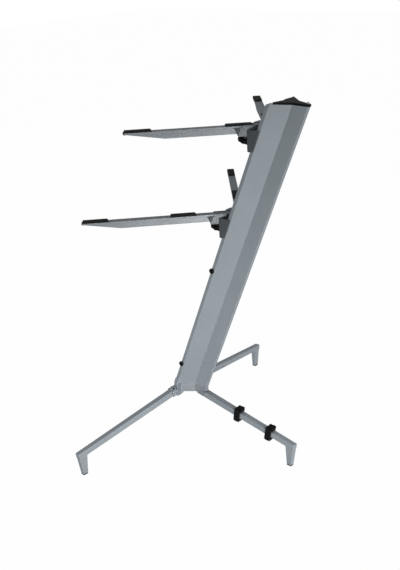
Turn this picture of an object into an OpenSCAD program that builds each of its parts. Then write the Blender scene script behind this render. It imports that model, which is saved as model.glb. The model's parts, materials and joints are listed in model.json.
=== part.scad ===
// Two-tier keyboard stand: a leaning aluminium column on three folding legs,
// with two sliding carriages that each hold a pair of support arms.
// Origin on the floor under the middle of the whole stand, +Z up.

/* [Column] */
// height of the top of the column over the floor
column_top = 1165; // [1140:1:1260]
// lean of the column away from the player, in degrees
lean = 22.4; // [21:0.1:24]
// slope of both cut ends of the column, in degrees
mitre = 4; // [2:0.5:6]
// half width of the column across its front lips
lip_half = 53; // [53:0.5:56]
// wall thickness of the extrusion
wall = 3; // [2.5:0.25:3.5]
// half width of the slot down the front
slot_half = 30; // [26:1:32]

/* [Tiers] */
// drop from the top of the column to the upper pair of arms
upper_drop = 64; // [63:1:80]
// height between the lower and the upper pair of arms
tier_gap = 275; // [260:1:290]
// length of a lower arm, measured from the point where the two arms meet
lower_arm = 467.4; // [440:1:500]
// length of an upper arm, measured from the point where the two arms meet
upper_arm = 401.6; // [380:1:430]
// angle of each arm from straight ahead, in degrees
arm_angle = 47; // [45:0.5:49]
// start of the inner pad on a lower arm
lower_pad = 129; // [110:1:200]
// start of the inner pad on an upper arm
upper_pad = 45; // [44:1:120]

/* [Legs] */
// distance from the hub centre to the middle of each foot
foot_reach = 450; // [430:1:480]
// angle of a side leg in front of straight sideways, in degrees
splay = 5.6; // [5:0.1:6.5]
// height of a side leg's centre line at the hub centre
side_leg_z = 144; // [143:0.5:145]
// fall of a side leg along its length, in degrees
side_drop = 8.4; // [8:0.1:8.8]
// height of the rear leg's centre line at the hub centre
rear_leg_z = 152.5; // [151.5:0.5:153.5]
// fall of the rear leg along its length, in degrees
rear_drop = 9.4; // [9:0.1:9.8]
// running clearance of the hinge pins
pin_gap = 0.05; // [0.03:0.01:0.08]

/* [Hidden] */
// heights of the two pairs of arms over the floor
upper_tier = column_top - upper_drop;
lower_tier = upper_tier - tier_gap;
$fn = 48;
over = 2;
big = 400;
slide_gap = 0.3;
hole_gap = 0.05;
end_edge = 1;
corner_steps = 3;

function unit(p) = p / norm(p);
function inward(a, b) = unit([a[1] - b[1], b[0] - a[0]]);
function inset(pts, d) = [for (i = [0:len(pts) - 1])
    let (n = len(pts), a = pts[(i + n - 1) % n], b = pts[i], c = pts[(i + 1) % n],
         p = inward(a, b), q = inward(b, c)) b + d * (p + q) / (1 + p * q)];
function mirrored(pts) = [for (i = [len(pts) - 1:-1:0]) [-pts[i][0], pts[i][1]]];
function stretched(pts, k, shift) = [for (p = pts) [p[0], p[1] * k + shift]];
// corner arc of one polygon corner: a before it, b the corner, c after it
function arc(a, b, c, r) =
    let (u = unit(b - a), w = unit(c - b), turn = atan2(u[0] * w[1] - u[1] * w[0], u * w),
         side = turn > 0 ? 1 : -1, reach = r * tan(abs(turn) / 2), start = b - u * reach,
         n = side * [-u[1], u[0]], mid = start + n * r)
    [for (k = [0:corner_steps]) let (t = turn * k / corner_steps, v = start - mid)
        mid + [v[0] * cos(t) - v[1] * sin(t), v[0] * sin(t) + v[1] * cos(t)]];
function rounded(pts, r) = [for (i = [0:len(pts) - 1])
    let (n = len(pts), m = len(r)) each arc(pts[(i + n - 1) % n], pts[i], pts[(i + 1) % n], r[i % m])];

// column section, seen along the column, front at negative values
lip_front = -11;
lip_back = 0.5;
fold_x = 15.5;
fold_v = 45.8;
nose_x = 5.5;
nose_v = 88.3;
flange = 4;
cavity_back = 10;
lip_r = 1.5;
outline_right = [[lip_half, lip_front], [lip_half, lip_back], [fold_x, fold_v], [nose_x, nose_v]];
outline = concat(outline_right, mirrored(outline_right));
outline_r = [2, lip_r, 2, 3, 3, 2, lip_r, 2];
flank_dir = unit([fold_x - lip_half, fold_v - lip_back]);
function flank_x(v) = lip_half + (v - lip_back) * flank_dir[0] / flank_dir[1];
flank_wall = wall / flank_dir[1];
core_right = [[flank_x(cavity_back), cavity_back], [fold_x, fold_v], [nose_x, nose_v]];
core = concat(core_right, mirrored(core_right));
core_hole = inset(core, wall);
port_r = 4.5;
port_bore = 2;
port_x = 31;
port_sink = 1;
port_v = cavity_back + wall + port_r - port_sink;
nose_fill = 12;
nose_port_in = 8;
nose_port_v = nose_v - nose_port_in;

foot_z = 146;
// tiers: the two arms of a tier meet at a point just in front of the lips
root_v = -13.2;
function root_y(z) = (root_v + (z - foot_z) * sin(lean)) / cos(lean);
function root_w(z) = root_y(z) * sin(lean) + (z - foot_z) * cos(lean);

joint_z = 171.5;
joint_y = (joint_z - foot_z) * tan(lean);
hub_k = cos(mitre) / cos(lean - mitre);
top_y = (column_top - foot_z) * tan(lean);
column_len = (column_top - foot_z) / cos(lean);

// arm
arm_flange_half = 12;
arm_corner = 3;
arm_flange = 4;
web_half = 9;
arm_deep = 22;
arm_start = 28;
taper_len = 114;
taper_end = 10.6;
tip_deep = 5.5;
arm_wall = 3;
pad_thick = 4.5;
pad_len = 77;
pad_half = 11.5;
pad_slope = 4;
pad_tip_gap = 2;

// socket for an arm
socket_half = 15;
socket_start = 26;
socket_root = 4;
socket_end = 99.7;
lip_end = 76.7;
socket_lip = 1.5;
socket_floor = arm_deep + slide_gap;
socket_bottom = 28.5;
split_z = -11;

// carriage
plate_thick = 6;
cheek_gap = 0.4;
cheek_thick = 4;
cheek_in = lip_half + cheek_gap;
cheek_out = cheek_in + cheek_thick;
carriage_deep = 52;
carriage_high = 78.3;
knob_s = 62;
knob_r = 19.6;
knob_thick = 11;
knob_under = 0.7;
knob_z = -socket_bottom - knob_under - knob_thick / 2 * cos(lean) - knob_r * sin(lean);
knob_x = knob_s * sin(arm_angle);
knob_y = (knob_z + socket_floor) * tan(lean) - knob_s * cos(arm_angle);
knob_v = knob_y * cos(lean) - knob_z * sin(lean);
knob_w = knob_y * sin(lean) + knob_z * cos(lean);
stud_r = 4;
boss_r = 8;
boss_high = 14;
boss_low = knob_w + knob_thick / 2;
bolt_r = 4;
bolt_w = [-22, -62];
bolt_head_r = 6.5;
bolt_head = 5;
bolt_room = 1;
clamp_thick = 6;
clamp_half = 45;
clamp_top = -2;
clamp_bottom = -76;

// hub and leg roots
hub_bottom = 138.5;
hub_roof = 7;
hub_wall = 6;
nose_low = 149.5;
boss_start = 66;
bracket_x = 41.5;
bracket_back = 27.5;
bracket_proud = 2;
bracket_low = 121;
bracket_shoulder = 175;
bracket_apex = 201;
collar_half = 12.5;
collar_high = 13;
collar_start = 48;
collar_slant = 17;
collar_back = 10;
collar_step = 1;
pin_s = 63;
pin_up = 5;
pin_r = 3.5;
knuckle_r = 8.8;
knuckle_cut = 0.4;
collar_end = knuckle_r - knuckle_cut;
lug_half = 4.5;
slot_side = lug_half + slide_gap;
lug_r = 6.5;
room_low = lug_r + 1;
beam_gap = 1;
root_half = 11.2;
bend_half = 9.75;
edge_r = 3;
beam_wall = 3;
rear_pin_s = 110;
rear_root = 26;
rear_face_v = 90;
rear_gap = 0.6;
tip_high = 4;

// the stand's middle from front to back lies over the origin
cap_thick = 6;
cap_over = 1.2;
cap_bevel = 1;
tip_y = root_y(lower_tier) - (lower_arm - arm_corner) * cos(arm_angle)
    - (arm_flange_half - arm_corner) * sin(arm_angle) - arm_corner;
back_y = top_y + (nose_v + cap_over) * hub_k + (cap_thick - cap_bevel) * sin(mitre);
mid_y = (tip_y + back_y) / 2;

leg_dir = [cos(side_drop) * cos(splay), -cos(side_drop) * sin(splay), -sin(side_drop)];
column_dir = [0, sin(lean), cos(lean)];
fold_axis = unit(cross(leg_dir, column_dir));
fold_angle = acos(leg_dir * column_dir);
leg_side = [sin(splay), cos(splay), 0];
leg_up = cross(leg_dir, leg_side);
roll = atan2(fold_axis * leg_up, -fold_axis * leg_side);

silver = [0.60, 0.64, 0.67];
shade = [0.33, 0.36, 0.39];
black = [0.12, 0.12, 0.13];
steel = [0.70, 0.71, 0.72];

module stand() {
    translate([0, -mid_y, 0]) children();
}

module column_frame() {
    translate([0, 0, foot_z]) rotate([-lean, 0, 0]) children();
}

module tier_frame(z) {
    translate([0, root_y(z), z]) children();
}

module carriage_frame(z) {
    column_frame() translate([0, root_v, root_w(z)]) children();
}

module arm_frame(z, right) {
    tier_frame(z) mirror([right ? 0 : 1, 0, 0]) rotate([0, 0, arm_angle - 90]) children();
}

module leg_frame(turn, z, drop) {
    translate([0, 0, z]) rotate([0, 0, turn]) rotate([0, drop, 0]) children();
}

module side_frame() {
    leg_frame(-splay, side_leg_z, side_drop) children();
}

module rear_frame() {
    leg_frame(90, rear_leg_z, rear_drop) children();
}

// frame on a side leg's hinge pin, with the pin along its second axis
module pin_frame() {
    side_frame() translate([pin_s, 0, pin_up]) rotate([-roll, 0, 0]) children();
}

// everything above a plane that slopes down to the back at the mitre angle
module above(y, z) {
    translate([0, y, z]) rotate([-mitre, 0, 0]) translate([-big, -big, 0]) cube([2 * big, 2 * big, big]);
}

module below(y, z) {
    translate([0, y, z]) rotate([-mitre, 0, 0]) translate([-big, -big, -big]) cube([2 * big, 2 * big, big]);
}

// bar along the first axis with rounded long edges and an even taper
module taper_bar(length, a0, b0, a1, b1, r) {
    steps = corner_steps * 2;
    intersection_for(k = [0:steps - 1]) {
        t = k * 180 / steps;
        h0 = (b0 - r) * abs(cos(t)) + (a0 - r) * abs(sin(t)) + r;
        h1 = (b1 - r) * abs(cos(t)) + (a1 - r) * abs(sin(t)) + r;
        rotate([t, 0, 0]) translate([0, 0, -big / 8]) linear_extrude(height = big / 4)
            polygon([[0, -h0], [length, -h1], [length, h1], [0, h0]]);
    }
}

module bore(r, low, high) {
    translate([0, 0, low]) cylinder(r = r, h = high - low);
}

// column

module column_section() {
    difference() {
        polygon(rounded(outline, outline_r));
        translate([-slot_half, lip_front - over]) square([2 * slot_half, over + flange + over]);
        polygon([[-lip_half + wall, lip_front + flange], [lip_half - wall, lip_front + flange],
            [lip_half - wall, flank_v(lip_half - wall + flank_wall)],
            [flank_x(cavity_back) - flank_wall, cavity_back],
            [flank_wall - flank_x(cavity_back), cavity_back],
            [wall - lip_half, flank_v(lip_half - wall + flank_wall)]]);
        difference() {
            polygon(core_hole);
            translate([-nose_x * 2, nose_v - nose_fill]) square([nose_x * 4, nose_fill]);
            for (x = [-port_x, port_x]) translate([x, port_v]) circle(r = port_r);
        }
        for (x = [-port_x, port_x]) translate([x, port_v]) circle(r = port_bore);
        translate([0, nose_port_v]) circle(r = port_bore);
    }
}

function flank_v(x) = lip_back + (x - lip_half) * flank_dir[1] / flank_dir[0];

module column_extrusion() {
    color(silver) stand() difference() {
        column_frame() translate([0, 0, -joint_z / 2]) linear_extrude(height = column_len + joint_z)
            column_section();
        below(joint_y, joint_z);
        above(top_y, column_top);
        lip_corner_round();
    }
}

// rounded top front corners of the lips, seen from the side
corner_round = 10;
corner_w = column_len + (lip_front + corner_round) * tan(lean - mitre) - corner_round / cos(lean - mitre);

corner_mid = [lip_front + corner_round, corner_w];
corner_turn = 90 - lean + mitre;
corner_arc = [for (k = [0:2 * corner_steps]) let (t = 180 - corner_turn * k / (2 * corner_steps))
    corner_mid + corner_round * [cos(t), sin(t)]];

module lip_corner_round() {
    last = corner_arc[2 * corner_steps];
    column_frame() translate([-big / 2, 0, 0]) rotate([90, 0, 90]) linear_extrude(height = big)
        polygon(concat([[lip_front - over, corner_w]], corner_arc,
            [[last[0], corner_w + big], [lip_front - over, corner_w + big]]));
}

// the cap reaches a little past the core at its front corners and is hollowed between them
cap_corner = 7;
cap_hollow = 14;
cap_right = [[flank_x(cap_corner), cap_corner], [fold_x, fold_v], [nose_x, nose_v]];
cap_outline = inset(concat(cap_right, mirrored(cap_right), [[0, cap_hollow]]), -cap_over);
cap_r = [1.5, 3, 3, 3, 3, 1.5, 8];
plug_deep = 14;
plug_wall = 2;
cap_k = 1 / cos(lean - mitre);

module mitre_frame() {
    translate([0, top_y, column_top]) rotate([-mitre, 0, 0]) children();
}

module top_cap() {
    color(black) stand() difference() {
        union() {
            mitre_frame() linear_extrude(height = cap_thick - cap_bevel)
                polygon(rounded(stretched(cap_outline, cap_k, 0), cap_r));
            mitre_frame() translate([0, 0, cap_thick - cap_bevel]) linear_extrude(height = cap_bevel)
                polygon(rounded(inset(stretched(cap_outline, cap_k, 0), cap_bevel), cap_r));
            difference() {
                column_frame() translate([0, 0, column_len - plug_deep]) linear_extrude(height = 2 * plug_deep)
                    cap_plug();
                mitre_frame() translate([-big, -big, cap_thick / 2]) cube([2 * big, 2 * big, big]);
            }
        }
        column_frame() translate([0, nose_port_v, 0]) bore(screw_r + hole_gap, column_len - 2 * plug_deep,
            column_len + 3 * plug_deep);
    }
}

module cap_plug() {
    low = port_v + port_r + slide_gap;
    difference() {
        intersection() {
            polygon(inset(core_hole, slide_gap));
            translate([-big / 2, low]) square([big, nose_v - nose_fill - slide_gap - low]);
        }
        intersection() {
            polygon(inset(core_hole, slide_gap + plug_wall));
            translate([-big / 2, low + plug_wall])
                square([big, nose_v - nose_fill - slide_gap - low - 2 * plug_wall]);
        }
    }
}

screw_r = 1.95;
screw_head_r = 4;
screw_head = 2.4;
screw_lift = 1.6;
screw_long = 20;
cap_screw_w = column_len + nose_port_v * tan(lean - mitre);

module top_cap_screw() {
    seat = cap_thick / cos(lean - mitre) + screw_lift;
    color(steel) stand() column_frame() translate([0, nose_port_v, cap_screw_w]) difference() {
        union() {
            bore(screw_r, -screw_long, seat);
            bore(screw_head_r, seat, seat + screw_head);
        }
        translate([0, 0, seat + screw_head / 2]) cylinder(r = screw_head_r / 2, h = screw_head, $fn = 6);
    }
}

// hub

hub_outline = stretched(outline, hub_k, joint_y);
hub_r = [2, 2, 2, 3, 3, 2, 2, 2];
hub_screw_r = 1.95;
hub_head_r = 5;
hub_head = 4;
hub_screw_long = 18;
hub_head_room = 0.5;
hub_boss_wall = 3;
hub_ports = [[-port_x, port_v], [port_x, port_v], [0, nose_port_v]];
joint_w = joint_y * sin(lean) + (joint_z - foot_z) * cos(lean);
function port_w(v) = joint_w + v * tan(lean - mitre);

module rear_face(gap) {
    column_frame() translate([-big / 2, rear_face_v + gap, -big]) cube([big, 2 * big, 2 * big]);
}

module hub_casting() {
    color(silver) stand() difference() {
        union() {
            difference() {
                translate([0, 0, hub_bottom]) linear_extrude(height = joint_z)
                    polygon(rounded(hub_outline, hub_r));
                above(joint_y, joint_z);
                for (s = [-1, 1]) mirror([s > 0 ? 0 : 1, 0, 0])
                    translate([bracket_x, -big / 2, hub_bottom - over]) cube([big, bracket_back + big / 2, big]);
                hub_pocket();
                intersection() {
                    rear_face(0);
                    translate([-big / 2, 0, 0]) cube([big, big, nose_low]);
                }
            }
            difference() {
                rear_frame() translate([boss_start, 0, 0])
                    taper_bar(big / 4, root_half, root_half, root_half, root_half, edge_r);
                rear_face(0);
            }
            rear_lug();
            for (p = hub_ports) hub_boss(p);
        }
        rear_frame() translate([rear_pin_s, 0, pin_up]) rotate([90, 0, 0]) translate([0, 0, -big / 2])
            cylinder(r = pin_r + pin_gap, h = big);
        for (p = hub_ports) column_frame() translate([p[0], p[1], port_w(p[1])]) {
            bore(hub_screw_r + hole_gap, -big / 4, over);
            bore(hub_head_r + hub_head_room, -big / 4, -hub_roof);
        }
    }
}

module hub_boss(p) {
    difference() {
        column_frame() translate([p[0], p[1], port_w(p[1])])
            bore(hub_head_r + hub_boss_wall, -hub_roof - hub_boss_wall, over);
        above(joint_y, joint_z);
    }
}

pocket_rib = 2;
pocket_cross = 34;
pocket_end = 80;
pocket_front = joint_y + lip_front * hub_k + wall;
pocket_side = bracket_x - hub_wall;
function hub_flank_y(x) = joint_y + hub_k * flank_v(x);
function hub_dark_x(y) =
    fold_x + (y - joint_y - fold_v * hub_k) * (nose_x - fold_x) / ((nose_v - fold_v) * hub_k);
pocket_right = [[pocket_side, pocket_front], [pocket_side, hub_flank_y(pocket_side) - 1.5 * hub_wall],
    [fold_x - hub_wall, joint_y + fold_v * hub_k - hub_wall / 2], [hub_dark_x(pocket_end) - hub_wall, pocket_end]];

// four pockets under the hub, with a rib along it and a rib across it
module hub_pocket() {
    intersection() {
        translate([0, 0, hub_bottom - over]) linear_extrude(height = joint_z - hub_bottom)
            polygon(concat(pocket_right, mirrored(pocket_right)));
        union() for (s = [-1, 1]) {
            translate([s > 0 ? pocket_rib : -big, -big, 0]) cube([big - pocket_rib, big + pocket_cross, big]);
            translate([s > 0 ? pocket_rib : -big, pocket_cross + 2 * pocket_rib, 0])
                cube([big - pocket_rib, big, big]);
        }
        below(joint_y, joint_z - hub_roof);
    }
}

module rear_lug() {
    rear_frame() translate([rear_pin_s, 0, pin_up]) rotate([90, 0, 0]) translate([0, 0, -lug_half])
        linear_extrude(height = 2 * lug_half) {
            circle(r = lug_r);
            translate([-rear_root, -lug_r]) square([rear_root, 2 * lug_r]);
        }
}

module hub_screws() {
    color(steel) stand() for (p = hub_ports) column_frame() translate([p[0], p[1], port_w(p[1])]) difference() {
        union() {
            bore(hub_screw_r, -hub_roof, hub_screw_long);
            bore(hub_head_r, -hub_roof - hub_head, -hub_roof);
        }
        translate([0, 0, -hub_roof - hub_head - over])
            cylinder(r = hub_head_r / 2, h = over + hub_head / 2, $fn = 6);
    }
}

bumper_r = 8.5;
bumper_thick = 4.8;
bumper_in = 3.5;
bumper_bevel = 1;
bumper_v = lip_front + bumper_in;
// height of the lower bumpers, and drop of the upper ones from the lower arms, along the column
bumper_low = 118;
bumper_drop = 209.8961;
bumper_w = [bumper_low, (lower_tier - foot_z) / cos(lean) - bumper_drop];

module lip_bumpers() {
    color(black) stand() column_frame() for (s = [-1, 1]) for (w = bumper_w)
        mirror([s > 0 ? 0 : 1, 0, 0]) translate([lip_half, bumper_v, w]) rotate([0, 90, 0]) difference() {
            union() {
                cylinder(r = bumper_r, h = bumper_thick - bumper_bevel);
                translate([0, 0, bumper_thick - bumper_bevel])
                    cylinder(r1 = bumper_r, r2 = bumper_r - bumper_bevel, h = bumper_bevel);
            }
            translate([0, 0, bumper_thick - bumper_bevel]) cylinder(r = bumper_r / 3, h = over);
        }
}

// side legs

bracket_reach = 26;
bracket_front = joint_y - bracket_reach;
bracket_nose = [12, 14];
bracket_cut = 15;
root_gap = 0.6;
bracket_seam = 1;

module bracket_clip() {
    translate([bracket_x, 0, 0]) rotate([90, 0, 90]) linear_extrude(height = big)
        polygon([[bracket_front, bracket_low], [bracket_back - bracket_cut, bracket_low],
            [bracket_back, bracket_low + bracket_cut], [bracket_back, bracket_shoulder],
            [root_line(bracket_apex), bracket_apex],
            [bracket_front + bracket_nose[0], bracket_apex - bracket_nose[1]]]);
}

function root_line(z) = (z - foot_z) * tan(lean) + (lip_back + root_gap) / cos(lean);

module bracket_shell() {
    fat = inset(outline, -bracket_proud);
    difference() {
        translate([0, 0, bracket_low]) linear_extrude(height = joint_z)
            polygon(rounded(stretched(fat, hub_k, joint_y), hub_r));
        above(joint_y, joint_z);
    }
    difference() {
        column_frame() linear_extrude(height = big / 4) polygon(rounded(fat, hub_r));
        below(joint_y, joint_z - bracket_seam);
        column_frame() translate([0, 0, -over]) linear_extrude(height = big / 2)
            polygon(rounded(outline, outline_r));
    }
}

module collar_body() {
    difference() {
        side_frame() translate([collar_start - collar_back, -collar_half, -collar_high])
            cube([pin_s + collar_end - collar_start + collar_back, 2 * collar_half, 2 * collar_high]);
        side_frame() translate([collar_start, 0, 0]) rotate([0, collar_slant, 0])
            translate([-big, -big / 2, -big / 2]) cube([big, big, big]);
    }
}

// room over the hinge for the tongue and for the folded leg
module hinge_room() {
    pin_frame() rotate([90, 0, 0]) translate([0, 0, -slot_side]) linear_extrude(height = 2 * slot_side)
        polygon([[-room_low, -room_low], [big / 4, -room_low], [big / 4, big / 4], [-room_low, big / 4]]);
}

// what the collar leaves free for the end of the folding leg
module collar_corner() {
    pin_frame() rotate([90, 0, 0]) translate([0, 0, -big / 2]) linear_extrude(height = big) difference() {
        translate([-knuckle_r - over, 0]) square([big, big]);
        circle(r = knuckle_r);
        translate([-big / 2, 0]) square([big / 2, knuckle_r - slide_gap]);
    }
}

module right_bracket() {
    difference() {
        union() {
            intersection() {
                bracket_clip();
                union() {
                    bracket_shell();
                    difference() {
                        translate([0, joint_y + lip_front * hub_k, bracket_low])
                            cube([lip_half, big / 4, joint_z - bracket_low]);
                        above(joint_y, joint_z);
                    }
                }
            }
            intersection() {
                side_frame() translate([0, collar_step - collar_half, collar_step - collar_high])
                    cube([collar_start + over * 2, 2 * (collar_half - collar_step),
                        2 * (collar_high - collar_step)]);
                translate([bracket_x, -big / 2, 0]) cube([big, big, big]);
            }
        }
        collar_body();
        hinge_sweep();
    }
}

sweep_gap = 2.4;
sweep_in = root_half * (cos(roll) + abs(sin(roll))) - pin_up + sweep_gap;
sweep_low = 9;

// clears the bracket's outer face beside the raised leg
module hinge_sweep() {
    pin_frame() translate([-sweep_in, -big / 8, sweep_low]) cube([big / 4, big / 4, big / 4]);
}

mark_in = 5;
mark_out = 0.2;

module right_collar() {
    difference() {
        collar_body();
        hinge_room();
        collar_corner();
        pin_frame() rotate([90, 0, 0]) translate([0, 0, -big / 2]) cylinder(r = pin_r, h = big);
        side_frame() for (s = [-1, 1]) translate([collar_start + mark_in, s * (collar_half + mark_out), -over])
            rotate([0, 0, 45]) cube([over / 2, over / 2, big / 4], center = true);
    }
}

module right_pin() {
    pin_frame() rotate([90, 0, 0]) translate([0, 0, -collar_half]) cylinder(r = pin_r, h = 2 * collar_half);
}

beam_start = pin_s + knuckle_r + beam_gap;
beam_solid = 26;
tongue_top = 3.5;
foot_out = 20;
foot_mid = 3;
foot_top_half = 17;
foot_tip_half = 9;
foot_tip_width = 7.6;
peg_r = 4;
peg_high = 9;
bend_wall = 30;

function foot_high(z, drop) = z - (foot_reach + foot_out) * tan(drop) + bend_half / cos(drop);
function bend_end(drop) = (foot_reach + foot_out) / cos(drop);

// frame at the top middle of a foot, with its first axis pointing down the foot
module foot_frame(turn, high) {
    rotate([0, 0, turn]) translate([foot_reach + foot_mid, 0, high]) rotate([0, 90 + atan(foot_mid / high), 0])
        children();
}

// beam of a leg with its foot, as one casting, hollow between root and bend
module leg_shape(turn, z, drop, start) {
    high = foot_high(z, drop);
    long = sqrt(high * high + foot_mid * foot_mid);
    slope = atan((foot_out - foot_tip_half) / high);
    difference() {
        union() {
            difference() {
                leg_frame(turn, z, drop) leg_bar(start, bend_end(drop) + foot_out, drop);
                rotate([0, 0, turn]) translate([foot_reach + foot_out, -big / 2, high]) rotate([0, slope, 0])
                    translate([0, 0, -big / 2]) cube([big, big, big]);
            }
            difference() {
                foot_frame(turn, high)
                    taper_bar(long, foot_top_half, bend_half, foot_tip_half, foot_tip_width, edge_r);
                leg_frame(turn, z, drop) translate([0, -big / 2, bend_half]) cube([2 * big, big, big]);
                translate([-big * 2, -big * 2, tip_high - big]) cube([big * 4, big * 4, big]);
            }
        }
        leg_frame(turn, z, drop) translate([start + beam_solid, 0, 0])
            taper_bar(bend_end(drop) - bend_wall - start - beam_solid, root_half - beam_wall, root_half - beam_wall,
                bend_half - beam_wall, bend_half - beam_wall, end_edge);
        rotate([0, 0, turn]) translate([foot_reach, 0, 0]) bore(peg_r, 0, tip_high + peg_high);
    }
}

// outside of a leg: one even taper from the hub to the bend, wherever it is cut
module leg_bar(start, end, drop) {
    full = bend_end(drop);
    h0 = root_half + (bend_half - root_half) * start / full;
    h1 = root_half + (bend_half - root_half) * end / full;
    translate([start, 0, 0]) taper_bar(end - start, h0, h0, h1, h1, edge_r);
}

tip_spare = 5;

module foot_tip(turn, z, drop) {
    high = foot_high(z, drop);
    long = sqrt(high * high + foot_mid * foot_mid);
    share = tip_spare / long;
    difference() {
        foot_frame(turn, high) taper_bar(long + tip_spare, foot_top_half, bend_half,
            foot_tip_half - (foot_top_half - foot_tip_half) * share,
            foot_tip_width - (bend_half - foot_tip_width) * share, edge_r);
        translate([-big * 2, -big * 2, tip_high]) cube([big * 4, big * 4, big]);
        translate([-big * 2, -big * 2, -big]) cube([big * 4, big * 4, big]);
    }
    rotate([0, 0, turn]) translate([foot_reach, 0, 0]) bore(peg_r, over, tip_high + peg_high);
}

module right_beam() {
    difference() {
        union() {
            leg_shape(-splay, side_leg_z, side_drop, beam_start);
            pin_frame() rotate([90, 0, 0]) translate([0, 0, -lug_half]) linear_extrude(height = 2 * lug_half) {
                circle(r = lug_r);
                translate([0, -lug_r]) square([beam_start - pin_s + over, lug_r + tongue_top]);
            }
        }
        pin_frame() rotate([90, 0, 0]) translate([0, 0, -big / 2]) cylinder(r = pin_r + pin_gap, h = big);
    }
}

rear_corner_r = 12.6;
pin_in = 0.4;

module rear_beam() {
    difference() {
        leg_shape(90, rear_leg_z, rear_drop, rear_pin_s - rear_root);
        difference() {
            translate([-big / 2, 0, 0]) cube([big, 2 * big, big]);
            rear_face(rear_gap);
        }
        rear_frame() translate([rear_pin_s, 0, pin_up]) rotate([90, 0, 0]) {
            translate([0, 0, -slot_side]) linear_extrude(height = 2 * slot_side)
                translate([-big / 4, -room_low]) square([big / 4 + room_low, big / 4]);
            translate([0, 0, -big / 2]) linear_extrude(height = big) difference() {
                translate([-big / 8, 0]) square([big / 8, big / 8]);
                circle(r = rear_corner_r);
            }
            translate([0, 0, -big / 2]) cylinder(r = pin_r, h = big);
        }
    }
}

module rear_pin() {
    rear_frame() translate([rear_pin_s, 0, pin_up]) rotate([90, 0, 0]) translate([0, 0, pin_in - root_half])
        cylinder(r = pin_r, h = 2 * (root_half - pin_in));
}

// distance of each clip from the middle of the rear foot
inner_clip_back = 217;
outer_clip_back = 86;
clip_s = [foot_reach - inner_clip_back, foot_reach - outer_clip_back];
clip_long = 22;
clip_half = 14;
clip_up = 9.5;
clip_down = 13.5;
clip_hook = 6;
clip_block = 6;
clip_block_long = 12;
clip_block_in = 4;
clip_block_out = 3;
clip_root = 1;

module rear_clips() {
    difference() {
        rear_frame() for (s = clip_s) translate([s, 0, 0]) {
            translate([0, -clip_half, -root_half - clip_down])
                cube([clip_long, 2 * clip_half, 2 * root_half + clip_down + clip_up]);
            translate([clip_long - clip_block_long + clip_block_out, clip_block_in - clip_half,
                root_half + clip_up - clip_root])
                cube([clip_block_long, 2 * (clip_half - clip_block_in), clip_block + clip_root]);
            translate([0, clip_block_in - clip_half, -root_half - clip_down - clip_hook])
                cube([clip_block_long, 2 * (clip_half - clip_block_in), clip_hook + clip_root]);
        }
        rear_frame() leg_bar(over, bend_end(rear_drop), rear_drop);
    }
}

module column_side(right) {
    stand() mirror([right ? 0 : 1, 0, 0]) children();
}

module right_leg_bracket() {
    color(silver) column_side(true) right_bracket();
}

module left_leg_bracket() {
    color(silver) column_side(false) right_bracket();
}

module right_leg_collar() {
    color(silver) column_side(true) right_collar();
}

module left_leg_collar() {
    color(silver) column_side(false) right_collar();
}

module right_leg_pin() {
    color(steel) column_side(true) right_pin();
}

module left_leg_pin() {
    color(steel) column_side(false) right_pin();
}

module rear_leg_pin() {
    color(steel) stand() rear_pin();
}

module right_leg_beam() {
    color(silver) column_side(true) right_beam();
}

module left_leg_beam() {
    color(silver) column_side(false) right_beam();
}

module rear_leg_beam() {
    color(silver) stand() rear_beam();
}

module right_foot_tip() {
    color(black) column_side(true) foot_tip(-splay, side_leg_z, side_drop);
}

module left_foot_tip() {
    color(black) column_side(false) foot_tip(-splay, side_leg_z, side_drop);
}

module rear_foot_tip() {
    color(black) stand() foot_tip(90, rear_leg_z, rear_drop);
}

module rear_leg_clips() {
    color(black) stand() rear_clips();
}

// arms

module side_plate(profile, half) {
    rotate([90, 0, 0]) translate([0, 0, -half]) linear_extrude(height = 2 * half) polygon(profile);
}

module arm_shape(length) {
    difference() {
        union() {
            side_plate([[arm_start, -arm_deep], [length - taper_len, -arm_deep], [length - taper_end, -tip_deep],
                [length - taper_end, -arm_flange / 2], [arm_start, -arm_flange / 2]], web_half);
            translate([0, 0, -arm_flange]) linear_extrude(height = arm_flange)
                polygon(rounded([[arm_start, -arm_flange_half], [length, -arm_flange_half], [length, arm_flange_half],
                    [arm_start, arm_flange_half]], [end_edge, arm_corner, arm_corner, end_edge]));
            translate([length - nub_in, 0, 0]) bore(nub_r, -arm_flange - nub_deep, -arm_flange / 2);
        }
        translate([arm_start - over, arm_wall - web_half, arm_wall - arm_deep])
            cube([length - taper_len - arm_start, 2 * (web_half - arm_wall), arm_deep - arm_flange - arm_wall]);
    }
}

nub_in = 5;
nub_r = 3;
nub_deep = 3.5;

module pad(start) {
    side_plate([[start, 0], [start + pad_len, 0], [start + pad_len - pad_slope / 2, pad_thick],
        [start + pad_slope, pad_thick]], pad_half);
}

module arm(z, right, length) {
    color(silver) stand() arm_frame(z, right) arm_shape(length);
}

module tip_pad(z, right, length) {
    color(black) stand() arm_frame(z, right) pad(length - pad_tip_gap - pad_len);
}

module inner_pad(z, right, start) {
    color(black) stand() arm_frame(z, right) pad(start);
}

module lower_right_arm() {
    arm(lower_tier, true, lower_arm);
}

module lower_left_arm() {
    arm(lower_tier, false, lower_arm);
}

module upper_right_arm() {
    arm(upper_tier, true, upper_arm);
}

module upper_left_arm() {
    arm(upper_tier, false, upper_arm);
}

module lower_right_tip_pad() {
    tip_pad(lower_tier, true, lower_arm);
}

module lower_left_tip_pad() {
    tip_pad(lower_tier, false, lower_arm);
}

module upper_right_tip_pad() {
    tip_pad(upper_tier, true, upper_arm);
}

module upper_left_tip_pad() {
    tip_pad(upper_tier, false, upper_arm);
}

module lower_right_inner_pad() {
    inner_pad(lower_tier, true, lower_pad);
}

module lower_left_inner_pad() {
    inner_pad(lower_tier, false, lower_pad);
}

module upper_right_inner_pad() {
    inner_pad(upper_tier, true, upper_pad);
}

module upper_left_inner_pad() {
    inner_pad(upper_tier, false, upper_pad);
}

// carriages

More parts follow.
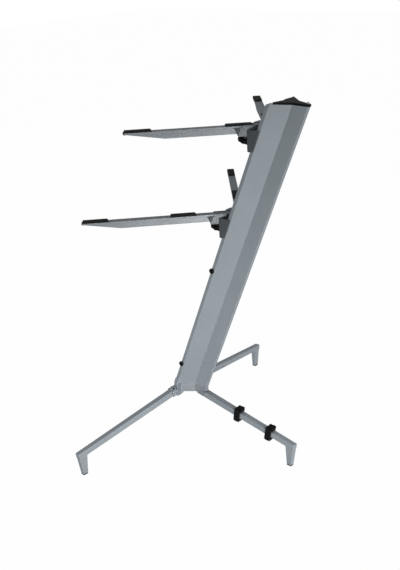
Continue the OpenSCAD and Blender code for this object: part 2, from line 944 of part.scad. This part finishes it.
// facet over the front end of a socket
facet_turn = 16.1;
facet_tilt = 5.2;
facet_start = 80;
end_slant = 25.6;

module socket_body() {
    difference() {
        union() {
            translate([socket_start - socket_root, -socket_half, -socket_bottom])
                cube([socket_end - socket_start + socket_root, 2 * socket_half,
                    socket_bottom - arm_flange - slide_gap]);
            translate([socket_start - socket_root, -socket_half, -socket_bottom])
                cube([lip_end - socket_start + socket_root, 2 * socket_half, socket_bottom + socket_lip]);
        }
        for (s = [-1, 1]) mirror([0, s > 0 ? 0 : 1, 0]) translate([facet_start, socket_half, -arm_flange])
            rotate([0, 0, -facet_turn]) rotate([facet_tilt, 0, 0]) translate([-big / 2, 0, -big / 2])
            cube([big, big, big]);
        translate([socket_end, -big / 2, -arm_flange]) rotate([0, end_slant, 0]) translate([0, 0, -big / 2])
            cube([big, big, big]);
    }
}

module socket_room() {
    translate([socket_start, -web_half - slide_gap, -socket_floor])
        cube([big / 2, 2 * (web_half + slide_gap), big / 4]);
    translate([socket_start, -arm_flange_half - slide_gap, -arm_flange - slide_gap])
        cube([big / 2, 2 * (arm_flange_half + slide_gap), big / 4]);
}

root_shares = [[-1, 0.83], [1, 0.83], [1, -0.5], [0.33, -1.22], [-0.33, -1.22], [-1, -0.5]];
root_wide = 36;
root_fill = [for (p = root_shares) root_wide * p];
front_v = lip_front - slide_gap - root_v;

module both_arms() {
    for (s = [0, 1]) mirror([s, 0, 0]) rotate([0, 0, arm_angle - 90]) children();
}

// outside of the upper casting of a carriage, in the frame of its tier
module head() {
    difference() {
        union() {
            both_arms() socket_body();
            translate([0, 0, split_z]) linear_extrude(height = socket_lip - split_z) polygon(root_fill);
            for (s = [-1, 1]) tier_back() translate([s * knob_x, knob_v, boss_low])
                cylinder(r = boss_r, h = boss_high);
        }
        tier_back() translate([-big / 2, front_v, -big / 2]) cube([big, big, big]);
    }
}

// what the lower casting holds in front of the column, under the split
module lower_head() {
    difference() {
        union() {
            translate([0, 0, -socket_bottom]) linear_extrude(height = socket_bottom) polygon(root_fill);
            tier_back() translate([-cheek_out, front_v - plate_thick, -carriage_high])
                cube([2 * cheek_out, plate_thick + over, big / 4]);
            tier_back() translate([-rib_half, 0, 0]) rotate([90, 0, 90])
                linear_extrude(height = 2 * rib_half) polygon(rib);
        }
        tier_back() translate([-big / 2, front_v, -big / 2]) cube([big, big, big]);
    }
}

// points beside the column, as shares of a carriage's depth and height
function carriage_points(shares) = [for (p = shares) [p[0] * carriage_deep, p[1] * carriage_high]];

// the carriage frame as seen from the frame of the tier
module tier_back() {
    rotate([-lean, 0, 0]) children();
}

// what the upper casting of the head takes, in the frame of its tier
module upper_share() {
    translate([-big, -big, split_z]) cube([2 * big, 2 * big, big]);
    both_arms() translate([socket_start, -socket_half, -big / 2]) cube([big, 2 * socket_half, big]);
}

module arm_bracket(z) {
    color(silver) stand() tier_frame(z) difference() {
        intersection() {
            head();
            upper_share();
        }
        both_arms() socket_room();
        knob_room();
        for (s = [-1, 1]) tier_back() translate([s * knob_x, knob_v, 0]) bore(stud_r + hole_gap, -big / 2, 0);
    }
}

module knob_room() {
    for (s = [-1, 1]) tier_back() translate([s * knob_x, knob_v, 0])
        bore(knob_r + knob_clear, knob_w - knob_thick / 2 - knob_clear, knob_w + knob_thick / 2 + knob_clear);
}

cheek_shares = [[0.254, 0], [0.254, -0.843], [0.212, -0.926], [0.029, -1], [-0.283, -0.868], [-0.854, -0.639],
    [-1, -0.421], [-0.769, 0.128]];
cheek = carriage_points(cheek_shares);

knob_clear = 0.6;
rib_half = 3;
rib_shares = [[0, 0], [0, -0.92], [-0.115, -0.92], [-0.654, -0.562], [-0.769, -0.077]];
rib = carriage_points(rib_shares);

module carriage(z) {
    color(shade) stand() tier_frame(z) difference() {
        union() {
            lower_head();
            for (s = [-1, 1]) tier_back() translate([s > 0 ? cheek_in : -cheek_out, 0, 0])
                rotate([90, 0, 90]) linear_extrude(height = cheek_out - cheek_in) polygon(cheek);
        }
        upper_share();
        both_arms() socket_room();
        knob_room();
        for (w = bolt_w) tier_back() translate([0, 0, w]) rotate([90, 0, 0])
            cylinder(r = bolt_r + hole_gap, h = big / 2, center = true);
        for (w = bolt_w) tier_back() translate([0, front_v - plate_thick, w]) rotate([90, 0, 0])
            cylinder(r = bolt_head_r + bolt_room, h = big / 2);
    }
}

module clamp_plate(z) {
    color(shade) stand() carriage_frame(z) difference() {
        translate([-clamp_half, clamp_v, clamp_bottom])
            cube([2 * clamp_half, clamp_thick, clamp_top - clamp_bottom]);
        for (w = bolt_w) translate([0, 0, w]) rotate([90, 0, 0]) cylinder(r = bolt_r, h = big / 4, center = true);
    }
}

clamp_v = lip_front + flange + slide_gap - root_v;

module clamp_bolts(z) {
    color(steel) stand() carriage_frame(z) for (w = bolt_w) translate([0, clamp_v + clamp_thick, w])
        rotate([90, 0, 0]) difference() {
            union() {
                cylinder(r = bolt_r, h = clamp_v + clamp_thick - front_v + plate_thick);
                translate([0, 0, clamp_v + clamp_thick - front_v + plate_thick])
                    cylinder(r = bolt_head_r, h = bolt_head);
            }
            translate([0, 0, clamp_v + clamp_thick - front_v + plate_thick + bolt_head / 2])
                cylinder(r = bolt_head_r / 2, h = bolt_head, $fn = 6);
        }
}

knob_lobes = 8;
knob_bevel = 1;
knob_dish = 1.5;
lobe_r = 5;
lobe_out = 2;

module knob(z, right) {
    color(black) stand() carriage_frame(z) mirror([right ? 0 : 1, 0, 0]) translate([knob_x, knob_v, knob_w])
        difference() {
            union() {
                translate([0, 0, knob_bevel - knob_thick / 2])
                    cylinder(r = knob_r, h = knob_thick - 2 * knob_bevel);
                translate([0, 0, -knob_thick / 2])
                    cylinder(r1 = knob_r - knob_bevel, r2 = knob_r, h = knob_bevel);
                translate([0, 0, knob_thick / 2 - knob_bevel])
                    cylinder(r1 = knob_r, r2 = knob_r - knob_bevel, h = knob_bevel);
            }
            for (k = [1:knob_lobes]) rotate([0, 0, k * 360 / knob_lobes]) translate([knob_r + lobe_out, 0, 0])
                cylinder(r = lobe_r, h = big / 4, center = true);
            bore(stud_r, -knob_thick / 4, knob_thick);
            bore(knob_r / 2, -knob_thick, knob_dish - knob_thick / 2);
        }
}

stud_top = (-arm_deep - slide_gap - stud_r * sin(lean) - knob_z) / cos(lean);

module stud(z, right) {
    color(steel) stand() carriage_frame(z) mirror([right ? 0 : 1, 0, 0]) translate([knob_x, knob_v, knob_w])
        bore(stud_r, -knob_thick / 4, stud_top);
}

module lower_carriage() {
    carriage(lower_tier);
}

module upper_carriage() {
    carriage(upper_tier);
}

module lower_arm_bracket() {
    arm_bracket(lower_tier);
}

module upper_arm_bracket() {
    arm_bracket(upper_tier);
}

module lower_clamp_plate() {
    clamp_plate(lower_tier);
}

module upper_clamp_plate() {
    clamp_plate(upper_tier);
}

module lower_clamp_bolts() {
    clamp_bolts(lower_tier);
}

module upper_clamp_bolts() {
    clamp_bolts(upper_tier);
}

module lower_right_knob() {
    knob(lower_tier, true);
}

module lower_left_knob() {
    knob(lower_tier, false);
}

module upper_right_knob() {
    knob(upper_tier, true);
}

module upper_left_knob() {
    knob(upper_tier, false);
}

module lower_right_stud() {
    stud(lower_tier, true);
}

module lower_left_stud() {
    stud(lower_tier, false);
}

module upper_right_stud() {
    stud(upper_tier, true);
}

module upper_left_stud() {
    stud(upper_tier, false);
}

column_extrusion();
top_cap();
top_cap_screw();
hub_casting();
hub_screws();
lip_bumpers();
right_leg_bracket();
left_leg_bracket();
right_leg_collar();
left_leg_collar();
right_leg_pin();
left_leg_pin();
rear_leg_pin();
right_leg_beam();
left_leg_beam();
rear_leg_beam();
right_foot_tip();
left_foot_tip();
rear_foot_tip();
rear_leg_clips();
lower_carriage();
upper_carriage();
lower_arm_bracket();
upper_arm_bracket();
lower_clamp_plate();
upper_clamp_plate();
lower_clamp_bolts();
upper_clamp_bolts();
lower_right_arm();
lower_left_arm();
upper_right_arm();
upper_left_arm();
lower_right_tip_pad();
lower_left_tip_pad();
upper_right_tip_pad();
upper_left_tip_pad();
lower_right_inner_pad();
lower_left_inner_pad();
upper_right_inner_pad();
upper_left_inner_pad();
lower_right_knob();
lower_left_knob();
upper_right_knob();
upper_left_knob();
lower_right_stud();
lower_left_stud();
upper_right_stud();
upper_left_stud();
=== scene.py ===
import json
import math
import bpy
from mathutils import Matrix, Vector

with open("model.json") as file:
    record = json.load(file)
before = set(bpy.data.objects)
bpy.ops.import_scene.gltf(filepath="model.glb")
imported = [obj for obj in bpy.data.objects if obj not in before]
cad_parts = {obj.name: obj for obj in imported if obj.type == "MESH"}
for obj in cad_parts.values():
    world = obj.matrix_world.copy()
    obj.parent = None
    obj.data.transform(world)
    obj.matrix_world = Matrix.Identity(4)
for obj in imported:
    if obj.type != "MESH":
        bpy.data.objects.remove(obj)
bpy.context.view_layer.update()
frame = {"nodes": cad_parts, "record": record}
nodes = frame["nodes"]

# materials

# noise scales per metre: slow patches, fine speckle, the noise that breaks up the painted edge highlight
# and the extrusion's grain
PATCH_SCALE = 9.0
SPECKLE_SCALE = 1500.0
EDGE_HIGHLIGHT_SPOT_SCALE = 60.0
GRAIN_SCALE = 60.0
# how much of the darker colour the speckle mixes in, and how dark that colour is
SPECK = 0.06
SPECK_SHADE = 0.5
# cosine between the rounded normal and the face's own: full painted edge highlight at the first, none at
# the second
FULL_HIGHLIGHT_AT, FLAT_AT = 0.85, 0.995
# strength of the painted edge highlight at its weakest and its strongest places along an edge
HIGHLIGHT_LEAST, HIGHLIGHT_MOST = 0.3, 0.9
BUMP_HEIGHT = 0.0001
BEVEL_SAMPLES = 8


def shader(name):
    mat = bpy.data.materials.new(name)
    mat.use_nodes = True
    tree = mat.node_tree
    tree.nodes.clear()
    out = tree.nodes.new("ShaderNodeOutputMaterial")
    bsdf = tree.nodes.new("ShaderNodeBsdfPrincipled")
    tree.links.new(bsdf.outputs["BSDF"], out.inputs["Surface"])
    return mat, tree, bsdf, out


def noise(tree, coords, scale, detail, rough):
    n = tree.nodes.new("ShaderNodeTexNoise")
    n.inputs["Scale"].default_value = scale
    n.inputs["Detail"].default_value = detail
    n.inputs["Roughness"].default_value = rough
    tree.links.new(coords, n.inputs["Vector"])
    return n.outputs["Fac"]


def scaled(colour, k):
    return tuple(min(1.0, c * k) for c in colour)


def value_map(tree, fac, low, high, start=0.3, end=0.7):
    m = tree.nodes.new("ShaderNodeMapRange")
    m.inputs["From Min"].default_value = start
    m.inputs["From Max"].default_value = end
    m.inputs["To Min"].default_value = low
    m.inputs["To Max"].default_value = high
    tree.links.new(fac, m.inputs["Value"])
    return m.outputs["Result"]


def mix_colour(tree, fac, a, b):
    """Mix two colours, each a tuple or a socket. Sockets 0, 6, 7 and output 2 are the colour mix."""
    m = tree.nodes.new("ShaderNodeMix")
    m.data_type = "RGBA"
    for socket, v in ((m.inputs[6], a), (m.inputs[7], b)):
        if isinstance(v, tuple):
            socket.default_value = (*v, 1.0)
        else:
            tree.links.new(v, socket)
    tree.links.new(fac, m.inputs[0])
    return m.outputs[2]


def stretched(tree, coords, turn, scale):
    m = tree.nodes.new("ShaderNodeMapping")
    m.inputs["Rotation"].default_value = turn
    m.inputs["Scale"].default_value = scale
    tree.links.new(coords, m.inputs["Vector"])
    return m.outputs["Vector"]


def surface(name, colour, rough, metal, grain=None, vary=0.04, rough_vary=0.06, bump=0.03,
            edge_highlight_colour=(0.5, 0.5, 0.5), edge=0.0006, spec=0.5):
    """One finish: base colour with slow patches and faint speckle, varied roughness, a fine bump, rounded
    edges and a painted highlight that makes the edges lighter."""
    mat, tree, bsdf, _ = shader(name)
    coords = tree.nodes.new("ShaderNodeTexCoord").outputs["Object"]
    patches = noise(tree, coords, PATCH_SCALE, 3.0, 0.5)
    speckle = noise(tree, coords, SPECKLE_SCALE, 1.0, 0.5)
    base = mix_colour(tree, value_map(tree, patches, 0.0, 1.0),
                      scaled(colour, 1.0 - vary), scaled(colour, 1.0 + vary))
    base = mix_colour(tree, value_map(tree, speckle, 0.0, SPECK), base, scaled(colour, SPECK_SHADE))
    bevel = tree.nodes.new("ShaderNodeBevel")
    bevel.samples = BEVEL_SAMPLES
    bevel.inputs["Radius"].default_value = edge
    # an edge is where the rounded normal leaves the face's own
    bend = tree.nodes.new("ShaderNodeVectorMath")
    bend.operation = "DOT_PRODUCT"
    tree.links.new(bevel.outputs["Normal"], bend.inputs[0])
    tree.links.new(tree.nodes.new("ShaderNodeNewGeometry").outputs["Normal"], bend.inputs[1])
    # painted highlight: the edges are mixed towards the finish's lighter edge colour, more strongly in some
    # noise patches than in others
    edge_highlight = tree.nodes.new("ShaderNodeMath")
    edge_highlight.operation = "MULTIPLY"
    tree.links.new(value_map(tree, bend.outputs["Value"], 1.0, 0.0, FULL_HIGHLIGHT_AT, FLAT_AT), edge_highlight.inputs[0])
    spots = noise(tree, coords, EDGE_HIGHLIGHT_SPOT_SCALE, 3.0, 0.7)
    tree.links.new(value_map(tree, spots, HIGHLIGHT_LEAST, HIGHLIGHT_MOST), edge_highlight.inputs[1])
    base = mix_colour(tree, edge_highlight.outputs["Value"], base, edge_highlight_colour)
    tree.links.new(base, bsdf.inputs["Base Color"])
    bsdf.inputs["Metallic"].default_value = metal
    bsdf.inputs["Specular IOR Level"].default_value = spec
    if grain:
        height = noise(tree, stretched(tree, coords, *grain), GRAIN_SCALE, 4.0, 0.6)
        spread = value_map(tree, height, rough - rough_vary, rough + rough_vary)
    else:
        height = speckle
        spread = value_map(tree, patches, rough - rough_vary, rough + rough_vary)
    tree.links.new(spread, bsdf.inputs["Roughness"])
    relief = tree.nodes.new("ShaderNodeBump")
    relief.inputs["Strength"].default_value = bump
    relief.inputs["Distance"].default_value = BUMP_HEIGHT
    tree.links.new(height, relief.inputs["Height"])
    tree.links.new(bevel.outputs["Normal"], relief.inputs["Normal"])
    tree.links.new(relief.outputs["Normal"], bsdf.inputs["Normal"])
    return mat


# the grain's turn and stretch: long lines down the leaning column
LEAN = math.radians(22.4)
along_column = ((-LEAN, 0.0, 0.0), (12.0, 12.0, 0.25))

# in each finish below, the lighter colour given for the edges is a painted edge highlight
finish = {
    "column_silver": surface("column_silver", (0.275, 0.31, 0.335), 0.46, 0.35, along_column, 0.03,
                             edge_highlight_colour=(0.5, 0.52, 0.54), edge=0.0008),
    "casting_silver": surface("casting_silver", (0.33, 0.365, 0.395), 0.42, 0.45,
                              edge_highlight_colour=(0.5, 0.53, 0.56), edge=0.0012),
    "hub_silver": surface("hub_silver", (0.255, 0.283, 0.305), 0.42, 0.45,
                          edge_highlight_colour=(0.45, 0.48, 0.5), edge=0.0012),
    "arm_silver": surface("arm_silver", (0.172, 0.186, 0.2), 0.44, 0.35, edge_highlight_colour=(0.5, 0.52, 0.54)),
    # painted shade: a darker copy of the silver casting for the arm brackets, which sit in shade under the
    # arms
    "bracket_painted_shade": surface("bracket_painted_shade", (0.095, 0.105, 0.113), 0.44, 0.3,
                            edge_highlight_colour=(0.28, 0.3, 0.32), edge=0.0008),
    # painted shade: this dark grey is the tone of the carriage where it lies in shade under the arm
    "casting_dark": surface("casting_dark", (0.075, 0.086, 0.095), 0.48, 0.15, vary=0.06,
                            edge_highlight_colour=(0.22, 0.24, 0.26), edge=0.0008),
    "black_rubber": surface("black_rubber", (0.004, 0.004, 0.0048), 0.6, 0.0, vary=0.12, bump=0.1,
                            edge_highlight_colour=(0.02, 0.02, 0.022), edge=0.0012, spec=0.12),
    "black_plastic": surface("black_plastic", (0.004, 0.0042, 0.005), 0.45, 0.0, vary=0.1, bump=0.06,
                             edge_highlight_colour=(0.02, 0.02, 0.022), edge=0.001, spec=0.1),
    "plain_steel": surface("plain_steel", (0.55, 0.56, 0.57), 0.3, 0.85, edge_highlight_colour=(0.7, 0.7, 0.7), edge=0.0003),
}

# the hub and the arm brackets are darker than the legs, though all are silver castings; on the arm brackets
# this darker copy is painted shade
darker = {
    "hub_casting": "hub_silver",
    "lower_arm_bracket": "bracket_painted_shade",
    "upper_arm_bracket": "bracket_painted_shade",
}

slots = {s["node"]: s["material_slot"] for s in frame["record"]["subparts"]}
for name, obj in nodes.items():
    obj.data.materials.clear()
    obj.data.materials.append(finish[darker.get(name, slots[name])])

# floor and backdrop

scene = bpy.context.scene
scene.view_settings.view_transform = "Standard"
WHITE = (1.0, 1.0, 1.0, 1.0)
FLOOR_HALF = 14.0
FLOOR_GREY = 0.9
# share of plain white that the camera sees on the floor; the rest shows the shadow
FLOOR_WHITE = 0.98
SOFT_COLOUR = (0.96, 0.98, 1.0, 1.0)
SOFT_STRENGTH = 0.34


def camera_white(tree, shader_socket, amount):
    """For rays from the camera, most of the surface is plain white, so that the ground is as white as the
    backdrop; the rest still shows the object's shadow."""
    path = tree.nodes.new("ShaderNodeLightPath")
    fac = tree.nodes.new("ShaderNodeMath")
    fac.operation = "MULTIPLY"
    fac.inputs[1].default_value = amount
    tree.links.new(path.outputs["Is Camera Ray"], fac.inputs[0])
    glow = tree.nodes.new("ShaderNodeEmission")
    glow.inputs["Strength"].default_value = 1.0
    glow.inputs["Color"].default_value = WHITE
    mix = tree.nodes.new("ShaderNodeMixShader")
    tree.links.new(fac.outputs["Value"], mix.inputs["Fac"])
    tree.links.new(shader_socket, mix.inputs[1])
    tree.links.new(glow.outputs["Emission"], mix.inputs[2])
    return mix.outputs["Shader"]


def make_floor():
    mesh = bpy.data.meshes.new("floor")
    w = FLOOR_HALF
    mesh.from_pydata([(-w, -w, 0), (w, -w, 0), (w, w, 0), (-w, w, 0)], [], [(0, 1, 2, 3)])
    floor = bpy.data.objects.new("floor", mesh)
    scene.collection.objects.link(floor)
    mat, tree, bsdf, out = shader("floor_white")
    bsdf.inputs["Base Color"].default_value = (FLOOR_GREY, FLOOR_GREY, FLOOR_GREY, 1.0)
    bsdf.inputs["Roughness"].default_value = 0.9
    bsdf.inputs["Specular IOR Level"].default_value = 0.1
    tree.links.new(camera_white(tree, bsdf.outputs["BSDF"], FLOOR_WHITE), out.inputs["Surface"])
    # the white is only for the camera, so the floor isn't sampled as a lamp: that would only add noise
    mat.cycles.emission_sampling = "NONE"
    mesh.materials.append(mat)


def background(tree, colour, strength):
    node = tree.nodes.new("ShaderNodeBackground")
    node.inputs["Color"].default_value = colour
    node.inputs["Strength"].default_value = strength
    return node.outputs["Background"]


def make_world():
    """Plain white behind the object for the camera, and a soft light from all round for the rest."""
    world = bpy.data.worlds.new("studio")
    scene.world = world
    world.use_nodes = True
    tree = world.node_tree
    tree.nodes.clear()
    out = tree.nodes.new("ShaderNodeOutputWorld")
    path = tree.nodes.new("ShaderNodeLightPath")
    mix = tree.nodes.new("ShaderNodeMixShader")
    tree.links.new(path.outputs["Is Camera Ray"], mix.inputs["Fac"])
    tree.links.new(background(tree, SOFT_COLOUR, SOFT_STRENGTH), mix.inputs[1])
    tree.links.new(background(tree, WHITE, 1.0), mix.inputs[2])
    tree.links.new(mix.outputs["Shader"], out.inputs["Surface"])


make_floor()
make_world()

# lights, in metres and watts

def area(name, pos, target, size, power):
    data = bpy.data.lights.new(name, "AREA")
    data.shape = "RECTANGLE"
    data.size, data.size_y = size
    data.energy = power
    obj = bpy.data.objects.new(name, data)
    scene.collection.objects.link(obj)
    obj.location = pos
    obj.rotation_euler = (Vector(target) - Vector(pos)).to_track_quat("-Z", "Y").to_euler()
    return data


area("key", (0.8, 3.2, 0.7), (0.0, 0.0, 0.45), (1.8, 1.4), 38.0)
area("top", (-0.6, 0.6, 4.0), (0.0, 0.0, 0.6), (2.4, 2.4), 22.0)
area("front", (0.8, -3.2, 2.2), (0.0, 0.0, 0.6), (2.4, 2.0), 14.0)
# a narrow beam on the foot of the column and the legs, which are lighter in the photo
low = area("low", (1.5, 2.1, 0.25), (0.05, -0.2, 0.2), (1.0, 0.4), 4.5)
low.spread = math.radians(50.0)

# camera matched to the photo: column, arms and legs fall on the same picture points

PHOTO_HEIGHT = 570.0
FOCAL_PIXELS = 792.2
SENSOR = 36.0
AZ, EL, ROLL = (math.radians(v) for v in (132.813, 23.496, -2.83))
# the eye from the point under the hub, and how far that point lies from the frame's middle
EYE = Vector((1.73206, 1.69605, 1.56936))
MID_Y = 0.227069

forward = Vector((-math.sin(AZ) * math.cos(EL), math.cos(AZ) * math.cos(EL), -math.sin(EL)))
right = Vector((math.cos(AZ), math.sin(AZ), 0.0))
up = right.cross(forward)
cam_x = right * math.cos(ROLL) + up * math.sin(ROLL)
cam_y = -right * math.sin(ROLL) + up * math.cos(ROLL)
cam_data = bpy.data.cameras.new("view")
cam_data.lens = FOCAL_PIXELS / PHOTO_HEIGHT * SENSOR
cam_data.sensor_width = SENSOR
cam_data.clip_end = 100.0
cam = bpy.data.objects.new("view", cam_data)
scene.collection.objects.link(cam)
turn = Matrix((cam_x, cam_y, -forward)).transposed().to_4x4()
cam.matrix_world = Matrix.Translation(EYE - Vector((0.0, MID_Y, 0.0))) @ turn
scene.camera = cam
